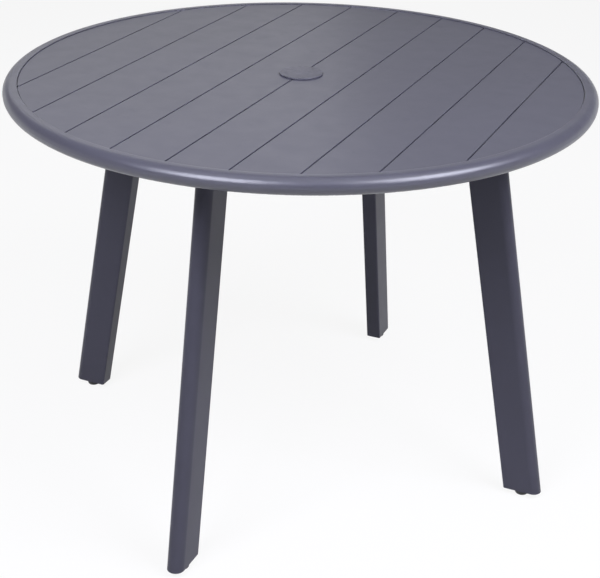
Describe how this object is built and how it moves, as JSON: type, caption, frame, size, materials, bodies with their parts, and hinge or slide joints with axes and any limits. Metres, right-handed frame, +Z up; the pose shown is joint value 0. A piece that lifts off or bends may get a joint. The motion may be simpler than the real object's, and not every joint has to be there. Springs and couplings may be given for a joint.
{
  "type": "umbrella table",
  "caption": "Round slatted metal patio table with a rounded rim, a lift-out cap over its umbrella hole, splayed legs and levelling glides.",
  "frame": {"origin": "on the floor, under the middle of the umbrella hole", "axes": "+Z up; the slats run along Y; the legs stand on the X and Y axes, front is -Y and right is +X"},
  "size_m": [0.9999, 1, 0.7265],
  "materials": {
    "slat_coat": "satin",
    "rim_coat": "satin",
    "leg_coat": "satin",
    "frame_coat": "satin",
    "cap_plastic": "satin",
    "black_plastic": "matte",
    "zinc_steel": "satin"
  },
  "bodies": {
    "table": {"batten_back_left": "frame_coat", "batten_back_right": "frame_coat", "batten_front_left": "frame_coat", "batten_front_right": "frame_coat", "hole_collar": "black_plastic", "hub_tube": "frame_coat", "leg_back": "leg_coat", "leg_bolts": "zinc_steel", "leg_front": "leg_coat", "leg_left": "leg_coat", "leg_plate_back": "frame_coat", "leg_plate_front": "frame_coat", "leg_plate_left": "frame_coat", "leg_plate_right": "frame_coat", "leg_plug_back": "black_plastic", "leg_plug_front": "black_plastic", "leg_plug_left": "black_plastic", "leg_plug_right": "black_plastic", "leg_right": "leg_coat", "leg_washers": "zinc_steel", "plug_nuts": "zinc_steel", "pole_guide": "black_plastic", "rail_back": "frame_coat", "rail_front": "frame_coat", "rail_left": "frame_coat", "rail_right": "frame_coat", "rim_ring": "rim_coat", "rivet_nuts": "zinc_steel", "slat_01": "slat_coat", "slat_02": "slat_coat", "slat_03": "slat_coat", "slat_04": "slat_coat", "slat_05": "slat_coat", "slat_06": "slat_coat", "slat_07": "slat_coat", "slat_08": "slat_coat", "slat_09": "slat_coat", "slat_10": "slat_coat", "slat_screws": "zinc_steel"},
    "cap": {"umbrella_hole_cap": "cap_plastic"},
    "pad_front": {"glide_pad_front": "black_plastic"},
    "stud_front": {"glide_stud_front": "zinc_steel"},
    "pad_right": {"glide_pad_right": "black_plastic"},
    "stud_right": {"glide_stud_right": "zinc_steel"},
    "pad_back": {"glide_pad_back": "black_plastic"},
    "stud_back": {"glide_stud_back": "zinc_steel"},
    "pad_left": {"glide_pad_left": "black_plastic"},
    "stud_left": {"glide_stud_left": "zinc_steel"}
  },
  "joints": [
    {"name": "cap_lift", "type": "slide", "parent": "table", "child": "cap", "axis": [0, 0, 1], "range_m": [0, 0.06]},
    {"name": "glide_slide_front", "type": "slide", "parent": "table", "child": "pad_front", "axis": [0, 0, -1], "range_m": [0, 0.01]},
    {"name": "stud_turn_front", "type": "hinge", "parent": "pad_front", "child": "stud_front", "pos_m": [0, -0.4541, 0.01], "axis": [0, 0, -1], "range_deg": [0, 2880]},
    {"name": "glide_slide_right", "type": "slide", "parent": "table", "child": "pad_right", "axis": [0, 0, -1], "range_m": [0, 0.01]},
    {"name": "stud_turn_right", "type": "hinge", "parent": "pad_right", "child": "stud_right", "pos_m": [0.4541, 0, 0.01], "axis": [0, 0, -1], "range_deg": [0, 2880]},
    {"name": "glide_slide_back", "type": "slide", "parent": "table", "child": "pad_back", "axis": [0, 0, -1], "range_m": [0, 0.01]},
    {"name": "stud_turn_back", "type": "hinge", "parent": "pad_back", "child": "stud_back", "pos_m": [0, 0.4541, 0.01], "axis": [0, 0, -1], "range_deg": [0, 2880]},
    {"name": "glide_slide_left", "type": "slide", "parent": "table", "child": "pad_left", "axis": [0, 0, -1], "range_m": [0, 0.01]},
    {"name": "stud_turn_left", "type": "hinge", "parent": "pad_left", "child": "stud_left", "pos_m": [-0.4541, 0, 0.01], "axis": [0, 0, -1], "range_deg": [0, 2880]}
  ],
  "couplings": [
    {"joint": "glide_slide_front", "follows": "stud_turn_front", "m_per_rad": 0.00019894},
    {"joint": "glide_slide_right", "follows": "stud_turn_right", "m_per_rad": 0.00019894},
    {"joint": "glide_slide_back", "follows": "stud_turn_back", "m_per_rad": 0.00019894},
    {"joint": "glide_slide_left", "follows": "stud_turn_left", "m_per_rad": 0.00019894}
  ]
}
